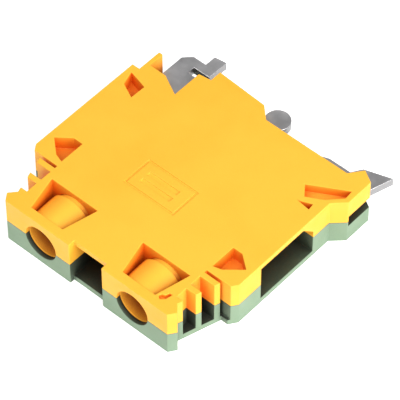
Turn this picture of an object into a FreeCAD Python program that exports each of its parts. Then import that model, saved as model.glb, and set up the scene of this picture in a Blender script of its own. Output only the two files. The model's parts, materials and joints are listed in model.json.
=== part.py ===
"""DIN rail earth terminal block, 12 mm pitch, for two conductors of up to 16 square millimetres.

Frame, in millimetres: X runs across the rail, Y runs away from the screwdriver side towards the rail,
and Z runs along the rail, through the block's thickness. The block lies on its green wide face.
The origin is the centre of the rail seat, at mid-thickness. Distances called depth are measured from
the screwdriver face, so a depth of seat_depth is the plane Y = 0.
"""
import FreeCAD, Part
import os
import Sketcher

doc = FreeCAD.newDocument("terminal_block")
sheet = doc.addObject("Spreadsheet::Sheet", "Sizes")
vector = FreeCAD.Vector

SIZES = {
    # housing envelope
    "thickness": 12.2, "parting_height": 5.8, "plate": 1.4, "half_width": 27.5, "seat_depth": 52.0,
    "face_half": 21.8, "corner_half": 23.0, "corner_depth": 1.7, "fin_root_half": 21.5,
    "fin_start": 3.4, "fin_end_half": 24.5, "fin_end": 13.0, "shoulder_half": 26.2, "shoulder_depth": 14.9,
    # marker grooves beside the screwdriver face
    "groove_start": 4.6, "groove_pitch": 4.1, "groove_width": 2.8, "groove_floor_half": 20.2,
    "last_groove_width": 0.7,
    # rail side of the housing
    "wall_end": 42.6, "foot_half": 30.2, "foot_start": 45.2, "foot_end": 52.3, "foot_tip_half": 27.3,
    "foot_tip": 54.0, "rail_edge": 51.0, "hat_left": 12.3, "hat_left_edge": 54.6, "hat_right": 0.5,
    "hat_right_edge": 53.8, "hat_ramp": 3.4, "foot_inner_half": 25.0, "left_wall_end": 44.2,
    "left_end": 25.6, "left_rail_edge": 51.7, "green_end_half": 24.4, "green_end": 48.0,
    "spike_inner": 24.6, "spike_end": 50.4, "window_edge": 15.3, "window_start": 43.8,
    "window_ramp": 20.2, "window_left_start": 46.4, "window_lip": 0.4,
    # screw axes, screwdriver bores and the sleeves in them
    "screw_half": 12.4, "bore_radius": 4.15, "sleeve_radius": 5.5, "sleeve_start": 1.2,
    "sleeve_shoulder": 9.2, "collar_radius": 4.8, "sleeve_end": 10.9, "sleeve_play": 0.05,
    "partition_end": 12.2, "partition_bore": 4.6, "sleeve_window_start": 2.2, "sleeve_window_end": 10.3,
    "window_near_half": 4.3, "window_far_half": 6.3,
    # middle slot
    "slot_half": 4.4, "slot_depth": 24.1, "yellow_setback": 1.6, "green_setback": 1.1,
    # clamp chambers and conductor entries
    "chamber_inner": 7.0, "chamber_outer": 17.9, "chamber_end": 38.2, "entry_start": 21.6,
    "entry_end": 37.7, "entry_bevel": 3.2, "entry_bevel_start_half": 18.2,
    # current bar
    "bar_depth": 24.0, "bar_thick": 2.5, "bar_half_wide": 3.3, "bar_half_long": 19.5, "bar_play": 0.05,
    # clamp screws, M5 with 0.8 pitch
    "screw_radius": 2.5, "head_radius": 3.7, "head_depth": 11.6, "head_thick": 2.1,
    "driver_slot": 1.1, "driver_slot_deep": 1.2, "thread_play": 0.05,
    # clamp yokes
    "yoke_depth": 20.0, "yoke_top": 3.0, "yoke_gap": 11.0, "yoke_floor": 1.5, "yoke_half_long": 4.0,
    "yoke_half_wide": 4.6, "yoke_wall": 1.15,
    # bond screw, M4, with its washer and square nut
    "bond_radius": 2.0, "bond_head_radius": 3.4, "bond_head_thick": 2.4, "washer_thick": 0.9,
    "washer_radius": 3.7, "bond_end": 34.5, "nut_half": 3.5, "nut_thick": 3.2, "bond_play": 0.1,
    "hub_half": 5.6, "hub_half_high": 3.9, "hub_end": 43.0,
    # foot plate and latch, two stamped steel plates that lie on each other
    "steel": 2.0, "latch_low": -0.9, "plate_low": 1.2, "ear_half": 5.4, "ear_reach": 3.3,
    "nut_window_half": 3.8, "nut_window_end": 36.5, "foot_plate_start": 42.8, "claw_outer": 22.9,
    "claw_chamfer": 1.8, "claw_throat": 19.0, "claw_tip": 14.7, "claw_finger": 17.7, "claw_arm_end": 56.2,
    "claw_end": 59.45, "claw_edge_rise": 0.4, "claw_gap": 1.9, "rail_gap": 1.35, "tab_centre": 3.7,
    "tab_radius": 2.85, "tab_end": 57.3,
    "seat_right": 17.6, "plate_right": 25.6, "plate_right_end": 50.6,
    "latch_left": 1.5, "latch_start": 44.0, "latch_end": 50.0, "latch_shoulder": 25.4,
    "latch_outer": 27.2, "latch_shoulder_end": 46.0, "latch_neck_end": 50.5, "latch_neck": 18.2,
    "hook_tip": 15.5, "hook_ramp": 17.3, "hook_end": 55.0, "hook_chamfer": 0.7, "nose_half": 28.9,
    "nose_start": 54.0, "nose_tip_half": 30.6, "nose_root_half": 24.3, "nose_root": 57.4,
    "nose_inner_half": 22.8, "latch_travel": 2.5,
    # latch spring and its window
    "spring_axis_depth": 47.0, "spring_radius": 1.6, "spring_wire": 0.45, "spring_start": 8.0,
    "spring_end": 15.9, "spring_play": 0.05, "spring_room": 0.2, "spring_window_half": 1.9,
    "spring_window_end": 17.6, "spring_window_margin": 0.5, "lug_thick": 1.3, "lug_inset": 0.2,
    # shouldered rivets that guide the latch
    "rivet_radius": 1.25, "rivet_head_radius": 2.2, "rivet_head_thick": 0.8, "rivet_play": 0.05,
    "rivet_left": 2.6, "rivet_right": 22.6, "rivet_cap_radius": 1.9, "rivet_cap_thick": 0.4,
    # foot chamber and cells inside the housing
    "plate_play": 0.1, "claw_room": 0.6, "plate_end_room": 0.2, "plate_side_room": 0.3,
    "rivet_room": 0.3, "rivet_head_room": 0.15, "latch_room": 0.15, "foot_notch": 0.4,
    "foot_cell_start": -20.5, "foot_cell_pitch": 10.4, "foot_cell_long": 8.6, "foot_cell_wall": 0.4,
    "foot_cell_end": 49.4, "foot_gap_height": 4.3, "foot_gap_inner": 26.4, "side_cell_inner": 20.4,
    "side_cell_outer": 26.0, "side_cell_start": 19.6, "side_cell_end": 20.6,
    # depths of the pockets in the yellow wide face
    "pocket_deep": 3.4, "shallow_deep": 2.2, "catch_deep": 1.0,
    # pegs of the green half that close the housing
    "peg_radius": 1.2, "peg_end": 2.0, "peg_half": 23.2, "peg_near": 18.0, "peg_far": 40.2, "peg_play": 0.05,
    "peg_root": 1.0, "peg_hole_end": 2.2,
    # engraved label frame on the yellow wide face, with two plain rows in it
    "label_left": 7.4, "label_right": 6.0, "label_start": 19.4, "label_end": 27.2, "label_line": 0.45,
    "label_deep": 0.25, "label_row_left": 5.0, "label_row_right": 3.0, "label_row_start": 21.6,
    "label_row_pitch": 2.2, "label_row_width": 1.1,
    # how far a cut runs past the face that it opens, and into the cut beside it
    "overcut": 1.0, "cut_overlap": 0.1,
}

# corners of the odd-shaped recesses in the yellow wide face, each as X and depth
OUTLINES = {
    "near_pocket": ((20.4, 15.0), (22.4, 15.6), (26.0, 18.7), (22.8, 21.2), (20.4, 21.2)),
    "far_left_pocket": ((-26.2, 42.4), (-25.2, 39.0), (-21.5, 37.2), (-21.4, 41.1)),
    "far_right_pocket": ((20.5, 43.1), (22.5, 40.6), (26.1, 42.6), (29.0, 45.7), (28.8, 47.9)),
    "corner_pocket": ((22.2, 39.0), (25.3, 38.6), (25.1, 40.2)),
    "catch_slit": ((17.3, 2.5), (18.1, 2.0), (19.0, 2.8), (19.3, 4.4), (18.6, 4.4), (18.3, 3.4), (17.6, 3.2)),
}
for outline_name, outline_corners in OUTLINES.items():
    for number, (across, depth) in enumerate(outline_corners, start=1):
        SIZES[f"{outline_name}_across_{number}"] = across
        SIZES[f"{outline_name}_depth_{number}"] = depth


class Length:
    """A length that carries both its value and the spreadsheet formula it comes from."""

    def __init__(self, value, formula):
        self.value = value
        self.formula = formula

    def __add__(self, other):
        other = as_length(other)
        return Length(self.value + other.value, f"({self.formula} + {other.formula})")

    def __sub__(self, other):
        other = as_length(other)
        return Length(self.value - other.value, f"({self.formula} - {other.formula})")

    def __rsub__(self, other):
        return as_length(other) - self

    def __mul__(self, factor):
        return Length(self.value * factor, f"({self.formula} * {factor})")

    def __truediv__(self, factor):
        return Length(self.value / factor, f"({self.formula} / {factor})")

    def __neg__(self):
        return self * -1

    __radd__ = __add__
    __rmul__ = __mul__


def as_length(number):
    """Wrap a plain number, so that it can be mixed with lengths from the sheet."""
    return number if isinstance(number, Length) else Length(float(number), str(float(number)))


class SheetLengths:
    """Gives each spreadsheet cell by its alias, as a Length."""

    def __getattr__(self, alias):
        return Length(SIZES[alias], "Sizes." + alias)


for row, (alias, value) in enumerate(SIZES.items(), start=1):
    sheet.set(f"A{row}", alias)
    sheet.set(f"B{row}", str(value))
    sheet.setAlias(f"B{row}", alias)
doc.recompute()

size = SheetLengths()
TOP = size.thickness / 2
BOTTOM = -TOP
PARTING = BOTTOM + size.parting_height
INNER_TOP = TOP - size.plate
INNER_BOTTOM = BOTTOM + size.plate
LATCH_TOP = size.latch_low + size.steel
PLATE_TOP = size.plate_low + size.steel


def at_depth(depth):
    """Y of a depth measured from the screwdriver face."""
    return as_length(depth) - size.seat_depth


# ---------------------------------------------------------------- sketches and features

def new_body(label):
    """A PartDesign body with its own label."""
    body = doc.addObject("PartDesign::Body", label)
    body.Label = label
    return body


def sketch_on(body, name, role, offset):
    """A sketch on one of the body's own origin planes, moved along the plane's normal."""
    sketch = body.newObject("Sketcher::SketchObject", name + "_sketch")
    origin_plane = [item for item in body.Origin.OriginFeatures if item.Role == role][0]
    sketch.AttachmentSupport = [(origin_plane, "")]
    sketch.MapMode = "FlatFace"
    sketch.setExpression("AttachmentOffset.Base.z", offset.formula)
    return sketch


def bind(sketch, kind, *where, length):
    """Add one dimension to a sketch and bind it to the sheet."""
    index = sketch.addConstraint(Sketcher.Constraint(kind, *where, length.value))
    sketch.setExpression(f"Constraints[{index}]", length.formula)


def add_outline(sketch, corners):
    """A closed polygon whose corners are each dimensioned from the sketch's origin."""
    corners = [(as_length(across), as_length(along)) for across, along in corners]
    first = sketch.GeometryCount
    count = len(corners)
    points = [vector(across.value, along.value, 0) for across, along in corners]
    for step in range(count):
        sketch.addGeometry(Part.LineSegment(points[step], points[(step + 1) % count]), False)
    for step in range(count):
        follower = first + (step + 1) % count
        sketch.addConstraint(Sketcher.Constraint("Coincident", first + step, 2, follower, 1))
    for step, (across, along) in enumerate(corners):
        bind(sketch, "DistanceX", -1, 1, first + step, 1, length=across)
        bind(sketch, "DistanceY", -1, 1, first + step, 1, length=along)


def add_circle(sketch, across, along, radius):
    """A circle dimensioned from the sketch's origin."""
    across, along = as_length(across), as_length(along)
    circle = Part.Circle(vector(across.value, along.value, 0), vector(0, 0, 1), radius.value)
    index = sketch.addGeometry(circle, False)
    bind(sketch, "DistanceX", -1, 1, index, 3, length=across)
    bind(sketch, "DistanceY", -1, 1, index, 3, length=along)
    bind(sketch, "Radius", index, length=radius)


def rectangle(low_across, high_across, low_along, high_along):
    """The four corners of an upright rectangle."""
    return [(low_across, low_along), (high_across, low_along),
            (high_across, high_along), (low_across, high_along)]


def draw(sketch, shapes):
    """Draw each shape: a list of corners is a polygon and a tuple is a circle."""
    for shape in shapes:
        if isinstance(shape, tuple):
            add_circle(sketch, *shape)
        else:
            add_outline(sketch, shape)


def add_flat(body, name, low, high, *shapes):
    """Add material between two heights, from shapes drawn in plan."""
    low, high = as_length(low), as_length(high)
    sketch = sketch_on(body, name, "XY_Plane", low)
    draw(sketch, shapes)
    pad = body.newObject("PartDesign::Pad", name)
    pad.Profile = sketch
    pad.setExpression("Length", (high - low).formula)
    return pad


def cut_flat(body, name, low, high, *shapes):
    """Remove material between two heights, from shapes drawn in plan."""
    low, high = as_length(low), as_length(high)
    sketch = sketch_on(body, name, "XY_Plane", high)
    draw(sketch, shapes)
    pocket = body.newObject("PartDesign::Pocket", name)
    pocket.Profile = sketch
    pocket.setExpression("Length", (high - low).formula)
    return pocket


def add_along(body, name, start, end, *shapes):
    """Add material between two depths, from shapes drawn on the X-Z plane."""
    sketch = sketch_on(body, name, "XZ_Plane", -at_depth(end))
    draw(sketch, shapes)
    pad = body.newObject("PartDesign::Pad", name)
    pad.Profile = sketch
    pad.setExpression("Length", (as_length(end) - start).formula)
    return pad


def cut_along(body, name, start, end, *shapes):
    """Remove material between two depths, from shapes drawn on the X-Z plane."""
    sketch = sketch_on(body, name, "XZ_Plane", -at_depth(start))
    draw(sketch, shapes)
    pocket = body.newObject("PartDesign::Pocket", name)
    pocket.Profile = sketch
    pocket.setExpression("Length", (as_length(end) - start).formula)
    return pocket


def add_across(body, name, low, high, *shapes):
    """Add material between two values of X, from shapes drawn on the Y-Z plane."""
    sketch = sketch_on(body, name, "YZ_Plane", as_length(low))
    draw(sketch, shapes)
    pad = body.newObject("PartDesign::Pad", name)
    pad.Profile = sketch
    pad.setExpression("Length", (as_length(high) - low).formula)
    return pad


def plan(*corners):
    """Corners given as X and depth, turned into X and Y."""
    return [(across, at_depth(depth)) for across, depth in corners]


def plan_box(low_across, high_across, start, end):
    """The corners of a rectangle given by its two X values and its two depths."""
    return rectangle(low_across, high_across, at_depth(start), at_depth(end))


def outline(name):
    """One of the named outlines, with every corner taken from the sheet."""
    return plan(*((getattr(size, f"{name}_across_{number}"), getattr(size, f"{name}_depth_{number}"))
                  for number in range(1, len(OUTLINES[name]) + 1)))


def on_side(side, corners):
    """Corners drawn for the right side, mirrored for the left one."""
    return corners if side > 0 else mirrored(corners)


def mirrored(corners):
    """The same corners on the other side of the middle plane, in the same turning sense."""
    return [(-as_length(across), along) for across, along in reversed(corners)]


# ---------------------------------------------------------------- housing

def front_corner(setback):
    """Right half of the screwdriver side's outline, from the middle slot to the side wall."""
    return plan(
        (size.slot_half, setback), (size.slot_half, 0), (size.face_half, 0),
        (size.corner_half, size.corner_depth), (size.fin_root_half, size.fin_start),
        (size.fin_end_half, size.fin_end), (size.shoulder_half, size.fin_end),
        (size.half_width, size.shoulder_depth))


def rail_side_right():
    """Outline of the right foot and the rail seat, from the side wall to the middle."""
    return plan(
        (size.half_width, size.wall_end), (size.foot_half, size.foot_start),
        (size.foot_half, size.foot_end), (size.foot_tip_half, size.foot_tip),
        (size.foot_inner_half, size.rail_edge), (size.hat_ramp, size.rail_edge),
        (size.hat_right, size.hat_right_edge), (-size.hat_left, size.hat_left_edge))


def yellow_left_end():
    """Left end of the yellow half, cut away round the steel claw so that a thin spike is left."""
    return plan(
        (-size.hat_left, size.left_rail_edge), (-size.window_edge, size.left_rail_edge - size.window_lip),
        (-size.window_edge, size.window_start), (-size.window_ramp, size.window_left_start),
        (-size.spike_inner, size.window_left_start),
        (-size.spike_inner, size.spike_end), (-size.left_end, size.spike_end),
        (-size.left_end, size.left_wall_end), (-size.half_width, size.left_wall_end))


def green_left_end():
    """Left end of the green half, which stays whole under the claw."""
    return plan(
        (-size.hat_left, size.left_rail_edge), (-size.green_end_half, size.left_rail_edge),
        (-size.left_end, size.green_end), (-size.left_end, size.left_wall_end),
        (-size.half_width, size.left_wall_end))


def groove_boxes(side):
    """The marker grooves of one side: two wide ones and a narrow one behind them."""
    boxes = []
    outside = size.half_width + size.overcut
    for step, width in enumerate((size.groove_width, size.groove_width, size.last_groove_width)):
        start = size.groove_start + size.groove_pitch * step
        boxes.append(on_side(side, plan_box(size.groove_floor_half, outside, start, start + width)))
    return boxes


def sleeve_window(side):
    """Window over a screwdriver sleeve, wider on its rail side."""
    axis = size.screw_half * side
    return plan(
        (axis - size.window_near_half, size.sleeve_window_start),
        (axis + size.window_near_half, size.sleeve_window_start),
        (axis + size.window_far_half, size.sleeve_window_end),
        (axis - size.window_far_half, size.sleeve_window_end))


def clamp_chamber(side):
    """Space for one clamp yoke."""
    box = plan_box(size.chamber_inner, size.chamber_outer, size.partition_end, size.chamber_end)
    return on_side(side, box)


def conductor_entry(side):
    """Way in for the conductor, from the side wall to the clamp chamber."""
    inner = size.chamber_outer - size.cut_overlap
    outer = size.half_width + size.overcut
    return on_side(side, plan_box(inner, outer, size.entry_start, size.entry_end))


def screwdriver_way(body, side, word):
    """Round way to one clamp screw: front hole, stepped seat of the sleeve and hole in the partition."""
    axis = size.screw_half * side
    steps = (
        ("front_hole_", -size.overcut, size.sleeve_start, size.bore_radius),
        ("sleeve_seat_", size.sleeve_start - size.sleeve_play, size.sleeve_window_end,
         size.sleeve_radius + size.sleeve_play),
        ("collar_seat_", size.sleeve_window_end - size.overcut, size.sleeve_end + size.sleeve_play,
         size.collar_radius + size.sleeve_play),
        ("partition_hole_", size.sleeve_end, size.partition_end + size.overcut, size.partition_bore))
    for name, start, end, radius in steps:
        cut_along(body, name + word, start, end, (axis, as_length(0), radius))


def hollow_housing(body, low, high):
    """Cut the spaces that both halves share, between the two inner heights of this half."""
    cut_flat(body, "middle_slot", low, high,
             plan_box(-size.slot_half, size.slot_half, -size.overcut, size.slot_depth))
    for side, word in ((-1, "left"), (1, "right")):
        cut_flat(body, "chamber_" + word, low, high, clamp_chamber(side))
        cut_flat(body, "entry_" + word, low, high, conductor_entry(side))
        cut_flat(body, "sleeve_room_" + word, low, high, sleeve_window(side))
        screwdriver_way(body, side, word)
    bar_half = size.bar_half_wide + size.bar_play
    bar_end = size.bar_half_long + size.bar_play
    bar_start = size.bar_depth - size.bar_play
    bar_stop = size.bar_depth + size.bar_thick + size.bar_play
    cut_along(body, "bar_channel", bar_start, bar_stop, rectangle(-bar_end, bar_end, -bar_half, bar_half))
    hub = rectangle(-size.hub_half, size.hub_half, -size.hub_half_high, size.hub_half_high)
    cut_along(body, "hub", bar_stop - size.cut_overlap, size.hub_end, hub)


def foot_chamber(right):
    """Slot for the steel plates, open to the rail, from the left claw to the given X."""
    return plan_box(-size.claw_outer - size.claw_room, right, size.foot_plate_start - size.plate_end_room,
                    size.foot_tip + size.overcut)


def rivet_circles(radius):
    """Plan circles on the axes of the two rivets."""
    rivet_y = at_depth(size.spring_axis_depth)
    return [(rivet_x, rivet_y, radius) for rivet_x in (size.rivet_left, size.rivet_right)]


def make_yellow_shell():
    """Upper half of the housing: a wide plate with walls that reach down to the parting plane."""
    body = new_body("yellow_shell")
    right = front_corner(size.yellow_setback)
    left = mirrored(front_corner(size.yellow_setback))
    add_flat(body, "block", PARTING, TOP, right + rail_side_right() + yellow_left_end() + left)
    cut_flat(body, "grooves_right", PARTING, TOP, *groove_boxes(1))
    cut_flat(body, "grooves_left", PARTING, TOP, *groove_boxes(-1))
    hollow_housing(body, PARTING, INNER_TOP)
    bevel_start = at_depth(size.entry_end - size.entry_bevel)
    bevel_end = at_depth(size.entry_end)
    bevel = [(bevel_start, INNER_TOP), (bevel_end, INNER_TOP - size.entry_bevel), (bevel_end, INNER_TOP)]
    for side, word in ((-1, "left"), (1, "right")):
        cut_flat(body, "sleeve_window_" + word, INNER_TOP - size.cut_overlap, TOP, sleeve_window(side))
        near_pocket = on_side(side, outline("near_pocket"))
        cut_flat(body, "near_pocket_" + word, TOP - size.pocket_deep, TOP, near_pocket)
        ends = (size.entry_bevel_start_half * side, size.half_width * side)
        add_across(body, "entry_bevel_" + word, *ends[::side], bevel)
    cut_flat(body, "far_left_pocket", TOP - size.pocket_deep, TOP, outline("far_left_pocket"))
    cut_flat(body, "far_right_pockets", TOP - size.shallow_deep, TOP,
             outline("far_right_pocket"), outline("corner_pocket"))
    cut_flat(body, "catch_slit", TOP - size.catch_deep, TOP, outline("catch_slit"))
    ceiling = PLATE_TOP + size.plate_play
    cut_flat(body, "foot_chamber", PARTING, ceiling, foot_chamber(size.plate_right + size.plate_side_room))
    cut_flat(body, "latch_way", PARTING, LATCH_TOP + size.plate_play, latch_way())
    cap_room = size.rivet_cap_radius + size.rivet_room
    cut_flat(body, "rivet_rooms", PARTING, ceiling + size.rivet_cap_thick + size.plate_play,
             *rivet_circles(cap_room))
    cut_flat(body, "peg_holes", PARTING, size.peg_hole_end, *pegs(size.peg_radius + size.peg_play))
    engrave_label(body)
    return body


def latch_way():
    """Room for the latch to slide outwards through the end of the right foot."""
    start = size.latch_start - size.latch_room
    notch = size.foot_start + size.foot_notch
    outside = size.foot_half + size.overcut
    below = size.foot_tip + size.overcut
    return plan(
        (size.hub_half, start), (size.latch_shoulder + size.latch_travel + size.latch_room, start),
        (size.foot_half - size.foot_notch, notch), (outside, notch), (outside, below), (size.hub_half, below))


def pegs(radius):
    """Plan circles of the four pegs that hold the halves together."""
    return [(size.peg_half * side, at_depth(depth), radius)
            for side in (-1, 1) for depth in (size.peg_near, size.peg_far)]


def engrave_label(body):
    """A plain engraved frame with two blank rows in it, where a marking would be."""
    low = TOP - size.label_deep
    line = size.label_line
    outer = plan_box(-size.label_left, size.label_right, size.label_start, size.label_end)
    inner = plan_box(-size.label_left + line, size.label_right - line,
                     size.label_start + line, size.label_end - line)
    cut_flat(body, "label_frame", low, TOP, outer, inner)
    rows = []
    for step in range(2):
        start = size.label_row_start + size.label_row_pitch * step
        rows.append(plan_box(-size.label_row_left, size.label_row_right, start, start + size.label_row_width))
    cut_flat(body, "label_rows", low, TOP, *rows)


def make_green_shell():
    """Lower half of the housing: its wide plate is whole under the marker grooves and the claw."""
    body = new_body("green_shell")
    right = front_corner(size.green_setback)
    left = mirrored(front_corner(size.green_setback))
    add_flat(body, "block", BOTTOM, PARTING, right + rail_side_right() + green_left_end() + left)
    cut_flat(body, "grooves_right", INNER_BOTTOM, PARTING, *groove_boxes(1))
    cut_flat(body, "grooves_left", INNER_BOTTOM, PARTING, *groove_boxes(-1))
    hollow_housing(body, INNER_BOTTOM, PARTING)
    chamber_floor = size.latch_low - size.plate_play
    cut_flat(body, "foot_chamber", chamber_floor, PARTING, foot_chamber(size.hub_half + size.overcut))
    cut_flat(body, "latch_way", chamber_floor, PARTING, latch_way())
    cut_flat(body, "foot_gap", BOTTOM + size.foot_gap_height, PARTING,
             plan_box(size.foot_gap_inner, size.foot_half + size.overcut, size.foot_start + size.foot_notch,
                      size.foot_tip + size.overcut))
    head_floor = size.latch_low - size.rivet_head_thick - size.rivet_head_room
    head_room = size.rivet_head_radius + size.rivet_room
    cut_flat(body, "rivet_rooms", head_floor, PARTING, *rivet_circles(head_room))
    half_room = size.spring_radius + size.spring_room
    cut_flat(body, "spring_room", size.latch_low + size.steel / 2 - half_room, PARTING,
             plan_box(size.spring_start - size.spring_window_margin, size.spring_end + size.spring_room,
                      size.spring_axis_depth - half_room, size.spring_axis_depth + half_room))
    cells = []
    for step in range(4):
        start = size.foot_cell_start + size.foot_cell_pitch * step
        cells.append(plan_box(start, start + size.foot_cell_long, size.latch_start + size.foot_cell_wall,
                              size.foot_cell_end))
    cut_flat(body, "foot_cells", INNER_BOTTOM, PARTING, *cells)
    side_cell = plan_box(size.side_cell_inner, size.side_cell_outer, size.side_cell_start, size.side_cell_end)
    cut_flat(body, "side_cells", INNER_BOTTOM, PARTING, side_cell, mirrored(side_cell))
    add_flat(body, "pegs", PARTING - size.peg_root, size.peg_end, *pegs(size.peg_radius))
    return body


# ---------------------------------------------------------------- clamps

def make_screw_guide(side, word):
    """Yellow sleeve that leads the screwdriver to the clamp screw and spans both halves."""
    body = new_body("screw_guide_" + word)
    axis = size.screw_half * side
    add_along(body, "sleeve", size.sleeve_start, size.sleeve_shoulder,
              (axis, as_length(0), size.sleeve_radius))
    add_along(body, "collar", size.sleeve_shoulder, size.sleeve_end,
              (axis, as_length(0), size.collar_radius))
    cut_along(body, "sleeve_bore", size.sleeve_start - size.overcut, size.sleeve_end + size.overcut,
              (axis, as_length(0), size.bore_radius))
    return body


def make_slotted_screw(label, axis, shank_radius, head_radius, head_start, head_thick, tip):
    """Cheese-head screw along Y with a straight driver slot."""
    body = new_body(label)
    add_along(body, "shank", head_start + head_thick, tip, (axis, as_length(0), shank_radius))
    add_along(body, "head", head_start, head_start + head_thick, (axis, as_length(0), head_radius))
    half_slot = size.driver_slot / 2
    slot_reach = head_radius + size.overcut
    slot = rectangle(axis - slot_reach, axis + slot_reach, -half_slot, half_slot)
    cut_along(body, "driver_slot", head_start - size.overcut, head_start + size.driver_slot_deep, slot)
    return body


def make_clamp_screw(side, word):
    """M5 clamp screw, whose tip bears on the current bar."""
    return make_slotted_screw(
        "clamp_screw_" + word, size.screw_half * side, size.screw_radius, size.head_radius,
        size.head_depth, size.head_thick, size.bar_depth - size.thread_play)


def make_clamp_yoke(side, word):
    """Steel cage round the current bar; its threaded top climbs the screw and lifts the conductor."""
    body = new_body("clamp_yoke_" + word)
    axis = size.screw_half * side
    total = size.yoke_top + size.yoke_gap + size.yoke_floor
    outer = plan_box(axis - size.yoke_half_long, axis + size.yoke_half_long,
                     size.yoke_depth, size.yoke_depth + total)
    add_flat(body, "cage", -size.yoke_half_wide, size.yoke_half_wide, outer)
    window_start = size.yoke_depth + size.yoke_top
    window_half = size.yoke_half_long + size.overcut
    window = plan_box(axis - window_half, axis + window_half, window_start, window_start + size.yoke_gap)
    inner_half = size.yoke_half_wide - size.yoke_wall
    cut_flat(body, "window", -inner_half, inner_half, window)
    thread = (axis, as_length(0), size.screw_radius + size.thread_play)
    cut_along(body, "thread", size.yoke_depth - size.overcut, window_start + size.overcut, thread)
    return body


# ---------------------------------------------------------------- current bar and bond

def bond_hole(play):
    """Circle of a hole for the bond screw."""
    return (as_length(0), as_length(0), size.bond_radius + play)


def make_current_bar():
    """Tin-plated copper bar that joins both clamps and carries the bond screw."""
    body = new_body("current_bar")
    end = size.bar_depth + size.bar_thick
    add_along(body, "bar", size.bar_depth, end,
              rectangle(-size.bar_half_long, size.bar_half_long, -size.bar_half_wide, size.bar_half_wide))
    cut_along(body, "bond_hole", size.bar_depth - size.overcut, end + size.overcut, bond_hole(size.bond_play))
    return body


def make_bond_screw():
    """M4 screw at the bottom of the middle slot that bonds the bar to the rail foot."""
    head_start = size.bar_depth - size.washer_thick - size.bond_head_thick
    return make_slotted_screw("bond_screw", as_length(0), size.bond_radius, size.bond_head_radius,
                              head_start, size.bond_head_thick, size.bond_end)


def make_bond_washer():
    """Washer under the bond screw's head."""
    body = new_body("bond_washer")
    start = size.bar_depth - size.washer_thick
    add_along(body, "disc", start, size.bar_depth, (as_length(0), as_length(0), size.washer_radius))
    cut_along(body, "hole", start - size.overcut, size.bar_depth + size.overcut, bond_hole(size.bond_play))
    return body


def make_bond_nut():
    """Square nut under the foot plate's ear."""
    body = new_body("bond_nut")
    start = size.bar_depth + size.bar_thick + size.steel
    end = start + size.nut_thick
    half = size.nut_half
    add_along(body, "square", start, end, rectangle(-half, half, -half, half))
    cut_along(body, "thread", start - size.overcut, end + size.overcut, bond_hole(size.thread_play))
    return body


# ---------------------------------------------------------------- rail foot

def spring_window(low_across, high_across):
    """Window for the spring in a steel plate, between two values of X."""
    return plan_box(low_across, high_across, size.spring_axis_depth - size.spring_window_half,
                    size.spring_axis_depth + size.spring_window_half)


def make_foot_plate():
    """Stamped steel plate: bent ear under the bar, fixed left claw, middle tab and right rail seat."""
    body = new_body("foot_plate")
    ear_start = size.bar_depth + size.bar_thick
    ear_end = ear_start + size.steel
    hook_start = size.seat_depth + size.claw_gap
    edge = plan(
        (-size.ear_half, ear_start), (size.ear_half, ear_start), (size.ear_half, size.foot_plate_start),
        (size.plate_right, size.foot_plate_start), (size.plate_right, size.plate_right_end),
        (size.latch_neck, size.plate_right_end), (size.seat_right, size.seat_depth),
        (-size.claw_throat, size.seat_depth), (-size.claw_throat, hook_start), (-size.claw_tip, hook_start),
        (-size.claw_tip, size.claw_end), (-size.claw_finger, size.claw_end - size.claw_edge_rise),
        (-size.claw_finger, size.claw_arm_end), (-size.claw_outer + size.claw_chamfer, size.claw_arm_end),
        (-size.claw_outer, size.claw_arm_end - size.claw_chamfer), (-size.claw_outer, size.foot_plate_start),
        (-size.ear_half, size.foot_plate_start))
    add_flat(body, "web", size.plate_low, PLATE_TOP, edge)
    tab_top = size.tab_end - size.tab_radius
    add_flat(body, "tab_round", size.plate_low, PLATE_TOP,
             (size.tab_centre, at_depth(tab_top), size.tab_radius))
    add_along(body, "ear", ear_start, ear_end,
              rectangle(-size.ear_half, size.ear_half, -size.ear_reach, PLATE_TOP))
    below, above = size.plate_low - size.overcut, PLATE_TOP + size.overcut
    cut_flat(body, "nut_window", below, above,
             plan_box(-size.nut_window_half, size.nut_window_half, ear_end, size.nut_window_end))
    cut_along(body, "bond_hole", ear_start - size.overcut, ear_end + size.cut_overlap,
              bond_hole(size.bond_play))
    cut_flat(body, "spring_window", below, above,
             spring_window(size.spring_start - size.spring_window_margin, size.spring_end))
    lug_half = size.spring_window_half - size.lug_inset
    lug = plan_box(size.spring_end, size.spring_end + size.lug_thick,
                   size.spring_axis_depth - lug_half, size.spring_axis_depth + lug_half)
    add_flat(body, "spring_lug", size.latch_low - size.spring_play, PLATE_TOP, lug)
    cut_flat(body, "rivet_holes", below, above, *rivet_circles(size.rivet_radius))
    return body


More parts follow.
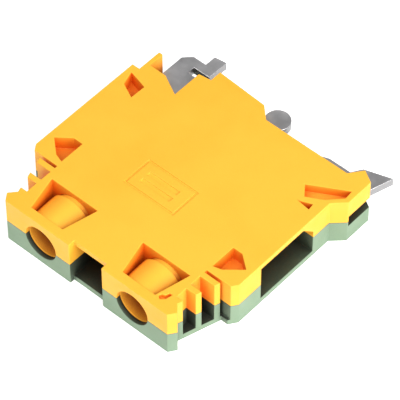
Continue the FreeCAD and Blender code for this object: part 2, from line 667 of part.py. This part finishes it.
def make_foot_latch():
    """Sliding steel latch: hook under the right rail edge, and a nose to pull it back by."""
    body = new_body("foot_latch")
    hook_start = size.seat_depth + size.rail_gap
    edge = plan(
        (-size.latch_left, size.latch_start), (size.latch_shoulder, size.latch_start),
        (size.latch_outer, size.latch_shoulder_end), (size.latch_outer, size.latch_neck_end),
        (size.nose_half, size.nose_start), (size.nose_tip_half, size.claw_end),
        (size.nose_root_half, size.nose_root), (size.nose_inner_half, size.hook_end),
        (size.hook_ramp, size.hook_end), (size.hook_tip, size.hook_end - size.hook_chamfer),
        (size.hook_tip, hook_start),
        (size.latch_neck, hook_start), (size.latch_neck, size.latch_end), (-size.latch_left, size.latch_end))
    add_flat(body, "plate", size.latch_low, LATCH_TOP, edge)
    below, above = size.latch_low - size.overcut, LATCH_TOP + size.overcut
    cut_flat(body, "spring_window", below, above, spring_window(size.spring_start, size.spring_window_end))
    slot_radius = size.rivet_radius + size.rivet_play
    for (rivet_x, rivet_y, radius), word in zip(rivet_circles(slot_radius), ("left", "right")):
        far_x = rivet_x - size.latch_travel
        cut_flat(body, "slot_near_" + word, below, above, (rivet_x, rivet_y, radius))
        cut_flat(body, "slot_far_" + word, below, above, (far_x, rivet_y, radius))
        cut_flat(body, "slot_" + word, below, above,
                 rectangle(far_x, rivet_x, rivet_y - radius, rivet_y + radius))
    return body


def make_latch_spring():
    """Compression spring between the latch and the foot plate's lug, as a thin tube."""
    body = new_body("latch_spring")
    axis = (at_depth(size.spring_axis_depth), size.latch_low + size.steel / 2)
    add_across(body, "coil", size.spring_start + size.spring_play, size.spring_end - size.spring_play,
               (*axis, size.spring_radius), (*axis, size.spring_radius - size.spring_wire))
    return body


def make_latch_rivets():
    """Two shouldered rivets on the foot plate that run in the latch's slots."""
    parts = []
    for rivet_x, word in ((size.rivet_left, "left"), (size.rivet_right, "right")):
        shoulder = size.latch_low - size.rivet_play
        pieces = []
        for name, radius, low, high in (
                ("shank", size.rivet_radius, shoulder, PLATE_TOP),
                ("head", size.rivet_head_radius, shoulder - size.rivet_head_thick, shoulder),
                ("cap", size.rivet_cap_radius, PLATE_TOP, PLATE_TOP + size.rivet_cap_thick)):
            cylinder = doc.addObject("Part::Cylinder", f"rivet_{name}_{word}")
            low, high = as_length(low), as_length(high)
            cylinder.setExpression("Radius", radius.formula)
            cylinder.setExpression("Height", (high - low).formula)
            cylinder.setExpression("Placement.Base.x", as_length(rivet_x).formula)
            cylinder.setExpression("Placement.Base.y", at_depth(size.spring_axis_depth).formula)
            cylinder.setExpression("Placement.Base.z", low.formula)
            pieces.append(cylinder)
        rivet = doc.addObject("Part::MultiFuse", "rivet_" + word)
        rivet.Shapes = pieces
        parts.append(rivet)
    group = doc.addObject("Part::Compound", "latch_rivets")
    group.Label = "latch_rivets"
    group.Links = parts
    return group


nodes = [make_yellow_shell(), make_green_shell()]
for side, word in ((-1, "left"), (1, "right")):
    nodes.append(make_screw_guide(side, word))
    nodes.append(make_clamp_screw(side, word))
    nodes.append(make_clamp_yoke(side, word))
nodes += [make_current_bar(), make_bond_screw(), make_bond_washer(), make_bond_nut()]
nodes += [make_foot_plate(), make_foot_latch(), make_latch_spring(), make_latch_rivets()]
doc.recompute()

for item in doc.Objects:
    if "Invalid" in item.State or "Error" in item.State:
        raise RuntimeError(f"{item.Label} failed: {item.State}")
    if item.isDerivedFrom("PartDesign::Pocket") and item.Shape.Volume > item.BaseFeature.Shape.Volume - 1e-4:
        raise RuntimeError(f"{item.Label} in {item.getParentGeoFeatureGroup().Label} cuts nothing")
    if item.isDerivedFrom("PartDesign::Pad") and item.BaseFeature:
        if item.Shape.Volume < item.BaseFeature.Shape.Volume + 1e-4:
            raise RuntimeError(f"{item.Label} adds nothing")

os.makedirs("parts", exist_ok=True)
for node in nodes:
    shape = node.Shape
    if shape.isNull() or not shape.isValid():
        raise RuntimeError(f"{node.Label} has no valid shape")
    shape.exportStep(f"parts/{node.Label}.step")
    print(f"{node.Label}: {len(shape.Solids)} solid(s), {shape.Volume:.1f} cubic mm")
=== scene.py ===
"""Looks of the DIN rail earth terminal block: materials, edges, threads and the latch spring's coil.

The frame is the CAD model's: X across the rail, Y towards the rail, Z out of the yellow wide face, in metres.
"""

import json
import math

import bmesh
import bpy
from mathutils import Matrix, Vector


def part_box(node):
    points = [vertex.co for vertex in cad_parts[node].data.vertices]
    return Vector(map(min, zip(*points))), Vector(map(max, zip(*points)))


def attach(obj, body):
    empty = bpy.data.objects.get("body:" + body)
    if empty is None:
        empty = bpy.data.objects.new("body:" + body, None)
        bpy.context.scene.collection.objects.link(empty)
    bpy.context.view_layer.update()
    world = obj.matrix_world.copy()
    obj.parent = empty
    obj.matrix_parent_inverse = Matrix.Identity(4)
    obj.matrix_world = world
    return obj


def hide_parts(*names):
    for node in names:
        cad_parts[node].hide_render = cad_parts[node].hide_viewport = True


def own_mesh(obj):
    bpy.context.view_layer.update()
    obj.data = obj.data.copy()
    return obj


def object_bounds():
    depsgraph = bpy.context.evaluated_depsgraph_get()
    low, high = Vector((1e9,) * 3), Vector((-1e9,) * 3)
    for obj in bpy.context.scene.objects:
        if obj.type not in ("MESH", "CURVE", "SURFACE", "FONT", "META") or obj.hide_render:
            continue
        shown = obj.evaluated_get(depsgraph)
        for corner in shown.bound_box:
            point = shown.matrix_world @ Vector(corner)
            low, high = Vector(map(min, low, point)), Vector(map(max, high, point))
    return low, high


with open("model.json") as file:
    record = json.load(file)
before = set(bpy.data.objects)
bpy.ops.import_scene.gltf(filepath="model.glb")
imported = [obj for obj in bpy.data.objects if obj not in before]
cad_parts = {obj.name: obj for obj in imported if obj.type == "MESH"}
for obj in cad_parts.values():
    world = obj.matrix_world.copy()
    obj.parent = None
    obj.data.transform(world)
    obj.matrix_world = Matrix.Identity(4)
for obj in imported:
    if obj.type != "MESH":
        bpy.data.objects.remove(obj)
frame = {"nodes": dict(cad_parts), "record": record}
cad_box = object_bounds()
MM = 0.001
nodes = frame["nodes"]
scene = bpy.context.scene

# ---------------------------------------------------------------- looks, in one place
# Width of the rounded edges of each CAD node that shows as it is, in millimetres.
EDGE_WIDTH = {
    "yellow_shell": 0.12, "green_shell": 0.12, "screw_guide_left": 0.2, "screw_guide_right": 0.2,
    "clamp_yoke_left": 0.3, "clamp_yoke_right": 0.3, "current_bar": 0.25, "bond_washer": 0.12,
    "bond_nut": 0.15, "foot_plate": 0.12, "foot_latch": 0.12, "latch_rivets": 0.18,
}
# Corners nearer than the gap, in millimetres, are merged. The angles tell flat faces from sharp edges.
WELD_GAP = 0.002
FLAT_WITHIN, SHARP_FROM = math.radians(0.5), math.radians(28)

# Plastic: the open colour, a deeper one for its mottling, and a painted shade colour that ambient occlusion
# lays into cavities.
YELLOW = (0.90, 0.44, 0.032)
YELLOW_DEEP = (0.88, 0.41, 0.026)
YELLOW_PAINTED_SHADE = (0.78, 0.15, 0.003)
# The screw guides' painted shade, darker than the yellow's.
SLEEVE_PAINTED_SHADE = (0.40, 0.075, 0.002)
GREEN = (0.20, 0.29, 0.19)
GREEN_DEEP = (0.175, 0.255, 0.16)
GREEN_PAINTED_SHADE = (0.006, 0.007, 0.004)
# Painted shade: walls nearer than the reach, in millimetres, make a place less open. The stops turn how open
# a place is into the open colour's share; the rest of the colour is the painted shade.
YELLOW_SHADE_MASK = {"reach": 9, "stops": ((0.12, 0.0), (0.42, 0.42), (0.6, 0.93), (0.75, 1.0))}
SLEEVE_SHADE_MASK = {"reach": 14, "stops": ((0.1, 0.0), (0.3, 0.4), (0.42, 0.95), (0.5, 1.0))}
GREEN_SHADE_MASK = {"reach": 14, "stops": ((0.3, 0.0), (0.6, 0.2), (0.88, 1.0))}
YELLOW_GLOW = 0.04
# Metals.
FOOT_STEEL = (0.77, 0.765, 0.775)
SCREW_STEEL = (0.42, 0.42, 0.43)
TIN = (0.62, 0.61, 0.58)
SPRING_STEEL = (0.3, 0.31, 0.33)

# Screws and the latch spring, in millimetres and turns.
SLOT_WIDE, SLOT_DEEP = 1.1, 1.2
HEAD_EDGE = 0.16
TIP_CHAMFER = 0.5
CLAMP_SCREW = {"pitch": 0.8, "shank_radius": 2.5, "head_radius": 3.7, "head_thick": 2.1}
BOND_SCREW = {"pitch": 0.7, "shank_radius": 2.0, "head_radius": 3.4, "head_thick": 2.4}
WIRE_RADIUS = 0.225
COIL_TURNS = 10.5
CLOSED_TURNS = 1.5


# ---------------------------------------------------------------- materials

class Nodes:
    """A material's node tree, with short ways to add and join nodes."""

    def __init__(self, name):
        self.material = bpy.data.materials.new(name)
        self.material.use_nodes = True
        self.tree = self.material.node_tree
        self.shader = self.tree.nodes["Principled BSDF"]

    def add(self, kind, **values):
        """A node with the given settings, or input values where the name is a socket's."""
        node = self.tree.nodes.new(kind)
        for key, value in values.items():
            if key in node.inputs:
                node.inputs[key].default_value = value
            else:
                setattr(node, key, value)
        return node

    def join(self, source, target):
        self.tree.links.new(source, target)

    def set(self, **values):
        """Constant values straight on the shader's own sockets, with _ for a space."""
        for key, value in values.items():
            self.shader.inputs[key.replace("_", " ")].default_value = value

    def place(self):
        """Object coordinates in metres."""
        return self.add("ShaderNodeTexCoord").outputs["Object"]

    def noise(self, where, scale, detail=3.0, roughness=0.5):
        """Noise whose scale is in cells per metre."""
        node = self.add("ShaderNodeTexNoise", Scale=scale, Detail=detail, Roughness=roughness)
        self.join(where, node.inputs["Vector"])
        return node.outputs["Fac"]

    def ramp(self, value, *stops):
        """A colour ramp from (place, grey or colour) stops."""
        node = self.add("ShaderNodeValToRGB")
        elements = node.color_ramp.elements
        while len(elements) < len(stops):
            elements.new(0.5)
        for element, (place, colour) in zip(elements, stops):
            element.position = place
            rgb = colour if isinstance(colour, tuple) else (colour,) * 3
            element.color = (*rgb, 1)
        self.join(value, node.inputs["Fac"])
        return node.outputs["Color"]

    def bump(self, height, distance, strength, under=None):
        """Bump whose height of 1 stands distance metres proud, over another bump if one is given."""
        node = self.add("ShaderNodeBump", Strength=strength, Distance=distance)
        self.join(height, node.inputs["Height"])
        if under is not None:
            self.join(under, node.inputs["Normal"])
        return node.outputs["Normal"]


def moulded_plastic(name, colour, deep, painted_shade_colour, shade_mask, glow=0.0):
    """Satin polyamide: eroded grain, faint flow mottling, slow sink waves and painted shade darkening its
    cavities.
    """
    m = Nodes(name)
    where = m.place()
    flow = m.noise(where, 70, detail=2)
    open_colour = m.ramp(flow, (0.3, deep), (0.62, colour))
    # Painted shade: ambient occlusion mixes the base colour towards the painted shade colour in cavities.
    shade_occlusion = m.add("ShaderNodeAmbientOcclusion", samples=8, Distance=shade_mask["reach"] * MM)
    shade_mix = m.add("ShaderNodeMix", data_type="RGBA")
    m.join(m.ramp(shade_occlusion.outputs["AO"], *shade_mask["stops"]), shade_mix.inputs["Factor"])
    shade_mix.inputs["A"].default_value = (*painted_shade_colour, 1)
    m.join(open_colour, shade_mix.inputs["B"])
    m.join(shade_mix.outputs["Result"], m.shader.inputs["Base Color"])
    patches = m.noise(where, 320, detail=4)
    m.join(m.ramp(patches, (0.3, 0.5), (0.7, 0.64)), m.shader.inputs["Roughness"])
    waves = m.bump(m.noise(where, 110, detail=1), 0.12 * MM, 0.5)
    grain = m.bump(m.noise(where, 5200, detail=2), 0.03 * MM, 0.9, waves)
    m.join(grain, m.shader.inputs["Normal"])
    m.set(Specular_IOR_Level=0.4, Subsurface_Weight=glow, Subsurface_Scale=0.0016, IOR=1.5)
    m.set(Subsurface_Radius=(1.0, 0.55, 0.2))
    return m.material


def rolled_steel(name, colour, along, smoothest=0.3, roughest=0.48, edge_tone=0.9):
    """Plated metal: rolling lines along an axis, cloudy plating, and cut edges edge_tone times as bright."""
    m = Nodes(name)
    where = m.place()
    stretch = m.add("ShaderNodeMapping")
    m.join(where, stretch.inputs["Vector"])
    stretch.inputs["Scale"].default_value = [0.05 if axis == along else 1.0 for axis in "xyz"]
    lines = m.noise(stretch.outputs["Vector"], 5200, detail=4, roughness=0.65)
    clouds = m.noise(where, 260, detail=4)
    dull = tuple(0.72 * c for c in colour)
    plated = m.ramp(clouds, (0.32, dull), (0.68, colour))
    facing = m.add("ShaderNodeSeparateXYZ")
    m.join(m.add("ShaderNodeTexCoord").outputs["Normal"], facing.inputs["Vector"])
    flat = m.add("ShaderNodeMath", operation="ABSOLUTE")
    m.join(facing.outputs["Z"], flat.inputs[0])
    edges = m.add("ShaderNodeMix", data_type="RGBA")
    m.join(m.ramp(flat.outputs[0], (0.45, 0.0), (0.8, 1.0)), edges.inputs["Factor"])
    edges.inputs["A"].default_value = (*(edge_tone * c for c in colour), 1)
    m.join(plated, edges.inputs["B"])
    m.join(edges.outputs["Result"], m.shader.inputs["Base Color"])
    m.join(m.ramp(lines, (0.25, smoothest), (0.75, roughest)), m.shader.inputs["Roughness"])
    pits = m.bump(clouds, 0.03 * MM, 0.4)
    m.join(m.bump(lines, 0.02 * MM, 0.5, pits), m.shader.inputs["Normal"])
    m.set(Metallic=1.0)
    return m.material


MATERIALS = {
    "yellow_plastic": moulded_plastic("yellow_polyamide", YELLOW, YELLOW_DEEP, YELLOW_PAINTED_SHADE, YELLOW_SHADE_MASK,
                                      YELLOW_GLOW),
    "green_plastic": moulded_plastic("green_polyamide", GREEN, GREEN_DEEP, GREEN_PAINTED_SHADE, GREEN_SHADE_MASK),
    "foot_steel": rolled_steel("foot_steel", FOOT_STEEL, "x", 0.34, 0.5, edge_tone=0.45),
    "screw_steel": rolled_steel("screw_steel", SCREW_STEEL, "y"),
    "tinned_copper": rolled_steel("tinned_copper", TIN, "x", 0.28, 0.42),
    "spring_steel": rolled_steel("spring_steel", SPRING_STEEL, "x", 0.22, 0.34),
}
# The screw guides get a copy of the yellow plastic whose painted shade is darker and reaches further into
# their holes.
SLEEVE_PLASTIC_DEEPER_SHADE = moulded_plastic("sleeve_polyamide", YELLOW, YELLOW_DEEP, SLEEVE_PAINTED_SHADE, SLEEVE_SHADE_MASK,
                                 YELLOW_GLOW)
slot_of = {part["node"]: part["material_slot"] for part in frame["record"]["subparts"]}


def finish(obj, material):
    """Give a piece its material."""
    obj.data.materials.clear()
    obj.data.materials.append(material)


# ---------------------------------------------------------------- edges of the CAD nodes

def soften(obj, width):
    """Merge flat faces, round the sharp edges a little and keep the flats flat."""
    weld = obj.modifiers.new("weld", "WELD")
    weld.merge_threshold = WELD_GAP * MM
    flats = obj.modifiers.new("flats", "DECIMATE")
    flats.decimate_type = "DISSOLVE"
    flats.angle_limit = FLAT_WITHIN
    edges = obj.modifiers.new("edges", "BEVEL")
    edges.width = width
    edges.segments = 3
    edges.limit_method = "ANGLE"
    edges.angle_limit = SHARP_FROM
    edges.use_clamp_overlap = False
    edges.loop_slide = False
    normals = obj.modifiers.new("normals", "WEIGHTED_NORMAL")
    normals.keep_sharp = False
    for polygon in obj.data.polygons:
        polygon.use_smooth = True


for name, node in nodes.items():
    finish(node, SLEEVE_PLASTIC_DEEPER_SHADE if name.startswith("screw_guide") else MATERIALS[slot_of[name]])
    if name in EDGE_WIDTH:
        soften(node, EDGE_WIDTH[name] * MM)


# ---------------------------------------------------------------- threaded screws

def new_piece(name, builder, body, slot, node):
    """An object from a bmesh, which stands for a CAD node and rides on a body."""
    mesh = bpy.data.meshes.new(name)
    builder.normal_update()
    builder.to_mesh(mesh)
    builder.free()
    obj = bpy.data.objects.new(name, mesh)
    scene.collection.objects.link(obj)
    for polygon in mesh.polygons:
        polygon.use_smooth = True
    finish(obj, MATERIALS[slot])
    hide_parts(node)
    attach(obj, body)
    return obj


def slotted_head(builder, axis, start, radius, thick):
    """Cheese head with a straight slot along X, from start towards +Y.

    It is open underneath, and that ring is returned.
    """
    steps = 28
    corner = math.asin(SLOT_WIDE * MM / 2 / radius)
    cheek = [corner + (math.pi - 2 * corner) * k / steps for k in range(steps + 1)]
    gap = [math.pi - corner + 2 * corner * k / 4 for k in range(1, 4)]
    angles = cheek + gap + [a + math.pi for a in cheek] + [a + math.pi for a in gap]

    def ring(depth, chosen, r=radius):
        return [builder.verts.new((axis + r * math.cos(a), depth, r * math.sin(a))) for a in chosen]

    under = ring(start + thick, angles)
    floor_ring = ring(start + SLOT_DEEP * MM, angles)
    count, span = len(angles), len(cheek)
    faces = []
    for k in range(count):
        nxt = (k + 1) % count
        faces.append([under[k], under[nxt], floor_ring[nxt], floor_ring[k]])
    tops = []
    for first in (0, span + len(gap)):
        base = floor_ring[first:first + span]
        top = ring(start, angles[first:first + span])
        tops.append(base)
        for k in range(span - 1):
            faces.append([base[k], base[k + 1], top[k + 1], top[k]])
        faces.append(top)
        faces.append([base[-1], base[0], top[0], top[-1]])
    gap_low = floor_ring[span:span + len(gap)]
    gap_high = floor_ring[2 * span + len(gap):]
    faces.append([tops[0][0], tops[0][-1]] + gap_low + [tops[1][0], tops[1][-1]] + gap_high)
    for face in faces:
        builder.faces.new(face)
    return under


def threaded_shank(builder, axis, start, end, radius, pitch):
    """Right-hand thread along Y: a fine grid whose radius follows the flanks round the helix.

    It is open at its start, and that ring is returned.
    """
    around, rows_per_turn = 56, 10
    root = radius - 0.61 * pitch
    half_crest, flank = 0.16, 0.7
    run_out = 0.6 * pitch
    rows = int(round((end - start) / pitch * rows_per_turn))
    rings = []
    for row in range(rows + 1):
        depth = start + (end - start) * row / rows
        limit = radius - max(0.0, TIP_CHAMFER * MM - (end - depth))
        ring = []
        for k in range(around):
            turn = k / around
            phase = ((depth - start) / pitch + turn) % 1.0
            cut = min(1.0, max(0.0, (abs(phase - 0.5) * 2 - half_crest) / flank))
            fade = min(1.0, (depth - start) / run_out)
            r = min(limit, root + (radius - root) * (1 - cut * fade))
            angle = math.tau * turn
            ring.append(builder.verts.new((axis + r * math.cos(angle), depth, r * math.sin(angle))))
        rings.append(ring)
    for low_ring, high_ring in zip(rings, rings[1:]):
        for k in range(around):
            nxt = (k + 1) % around
            builder.faces.new((low_ring[k], high_ring[k], high_ring[nxt], low_ring[nxt]))
    builder.faces.new(list(reversed(rings[-1])))
    return rings[0]


def rim(builder, ring):
    """The edges of a closed ring of vertices."""
    return [builder.edges.get(pair) for pair in zip(ring, ring[1:] + ring[:1])]


def real_screw(name, node, body, pitch, shank_radius, head_radius, head_thick):
    """A slotted screw in place of a CAD one, at the same place and to the same overall sizes."""
    low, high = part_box(node)
    axis = (low[0] + high[0]) / 2
    neck_start = low[1] + head_thick * MM
    builder = bmesh.new()
    under_head = slotted_head(builder, axis, low[1], head_radius * MM, head_thick * MM)
    head_corners = set(builder.verts)
    neck = threaded_shank(builder, axis, neck_start, high[1], shank_radius * MM, pitch * MM)
    bmesh.ops.bridge_loops(builder, edges=rim(builder, under_head) + rim(builder, neck))
    bmesh.ops.recalc_face_normals(builder, faces=builder.faces)
    sharp = [edge for edge in builder.edges
             if head_corners.issuperset(edge.verts) and edge.calc_face_angle() > math.radians(50)]
    bmesh.ops.bevel(builder, geom=sharp, offset=HEAD_EDGE * MM, segments=3, affect="EDGES",
                    clamp_overlap=True)
    obj = new_piece(name, builder, body, slot_of[node], node)
    normals = obj.modifiers.new("normals", "WEIGHTED_NORMAL")
    normals.keep_sharp = False


for side in ("left", "right"):
    real_screw("screw_with_thread_" + side, "clamp_screw_" + side, "screw_" + side, **CLAMP_SCREW)
real_screw("bond_screw_with_thread", "bond_screw", "housing", **BOND_SCREW)


# ---------------------------------------------------------------- the latch spring's coil

def coil(name, node, wire, turns):
    """Compression spring along X with closed turns at both ends, in place of the CAD tube.

    wire is the wire's radius.
    """
    low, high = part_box(node)
    mean = (high[2] - low[2]) / 2 - wire
    y, z = (low[1] + high[1]) / 2, (low[2] + high[2]) / 2
    start, length = low[0] + wire, high[0] - low[0] - 2 * wire
    closed_pitch = 2 * wire * 1.02
    closed_length = CLOSED_TURNS * closed_pitch
    steps, around = 40, 10
    builder = bmesh.new()
    rings = []
    for k in range(int(turns * steps) + 1):
        turn = k / steps
        if turn < CLOSED_TURNS:
            x = turn * closed_pitch
        elif turn > turns - CLOSED_TURNS:
            x = length - (turns - turn) * closed_pitch
        else:
            open_share = (turn - CLOSED_TURNS) / (turns - 2 * CLOSED_TURNS)
            x = closed_length + open_share * (length - 2 * closed_length)
        angle = math.tau * turn
        out = Vector((0, math.cos(angle), math.sin(angle)))
        centre = Vector((start + x, y, z)) + out * mean
        ring = []
        for n in range(around):
            a = math.tau * n / around
            aside = Vector((wire * math.sin(a), 0, 0))
            ring.append(builder.verts.new(centre + out * (wire * math.cos(a)) + aside))
        rings.append(ring)
    made = []
    for one, two in zip(rings, rings[1:]):
        for n in range(around):
            nxt = (n + 1) % around
            made.append(builder.faces.new((one[n], one[nxt], two[nxt], two[n])))
    made.append(builder.faces.new(list(reversed(rings[0]))))
    made.append(builder.faces.new(rings[-1]))
    bmesh.ops.recalc_face_normals(builder, faces=made)
    return new_piece(name, builder, "housing", slot_of[node], node)


spring = coil("spring_coil", "latch_spring", WIRE_RADIUS * MM, COIL_TURNS)
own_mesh(spring)


# ---------------------------------------------------------------- camera, light and floor

# Angles in degrees, distances in metres; the lens, sensor and offset from the centre in millimetres.
AZIMUTH, ELEVATION, DISTANCE = 41.5, 50.5, 0.6
LENS, SENSOR = 265.0, 36.0
LOOKED_AT_OFFSET = (2.1, 0.5, -0.8)
WORLD_LIGHT = 0.3
FLOOR_HALF = 3.0


def direction(azimuth, elevation):
    """Unit vector from the object towards a place seen at that azimuth and elevation, in degrees."""
    a, e = math.radians(azimuth), math.radians(elevation)
    return Vector((math.sin(a) * math.cos(e), -math.cos(a) * math.cos(e), math.sin(e)))


def aim(obj, target):
    """Turn an object's -Z axis towards a point."""
    obj.rotation_euler = (target - obj.location).to_track_quat("-Z", "Y").to_euler()


low, high = cad_box
centre = (low + high) / 2

camera = bpy.data.objects.new("camera", bpy.data.cameras.new("camera"))
scene.collection.objects.link(camera)
camera.data.sensor_width = SENSOR
camera.data.lens = LENS
camera.data.clip_start = 0.01
looked_at = centre + Vector(LOOKED_AT_OFFSET) * MM
camera.location = looked_at + direction(AZIMUTH, ELEVATION) * DISTANCE
aim(camera, looked_at)
scene.camera = camera


def soft_light(name, azimuth, elevation, distance, size, power):
    """A white square area light aimed at the object."""
    data = bpy.data.lights.new(name, "AREA")
    data.shape = "SQUARE"
    data.size = size
    data.energy = power
    light = bpy.data.objects.new(name, data)
    scene.collection.objects.link(light)
    light.location = centre + direction(azimuth, elevation) * distance
    aim(light, centre)


soft_light("key", 80, 31, 0.7, 0.6, 7.2)
soft_light("top", 352, 68, 0.8, 0.8, 4.6)

world = bpy.data.worlds.new("studio")
world.use_nodes = True
background = world.node_tree.nodes["Background"]
background.inputs["Color"].default_value = (1, 1, 1, 1)
background.inputs["Strength"].default_value = WORLD_LIGHT
scene.world = world
scene.view_settings.view_transform = "Standard"

floor_mesh = bpy.data.meshes.new("floor")
corners = [(x * FLOOR_HALF, y * FLOOR_HALF, low.z) for x, y in ((-1, -1), (1, -1), (1, 1), (-1, 1))]
floor_mesh.from_pydata(corners, [], [(0, 1, 2, 3)])
floor = bpy.data.objects.new("floor", floor_mesh)
scene.collection.objects.link(floor)
paper = Nodes("paper")
paper.set(Base_Color=(0.93, 0.93, 0.93, 1), Roughness=0.9, Specular_IOR_Level=0.1)
paper.set(Emission_Color=(1, 1, 1, 1), Emission_Strength=0.4)
floor_mesh.materials.append(paper.material)
floor.visible_shadow = False
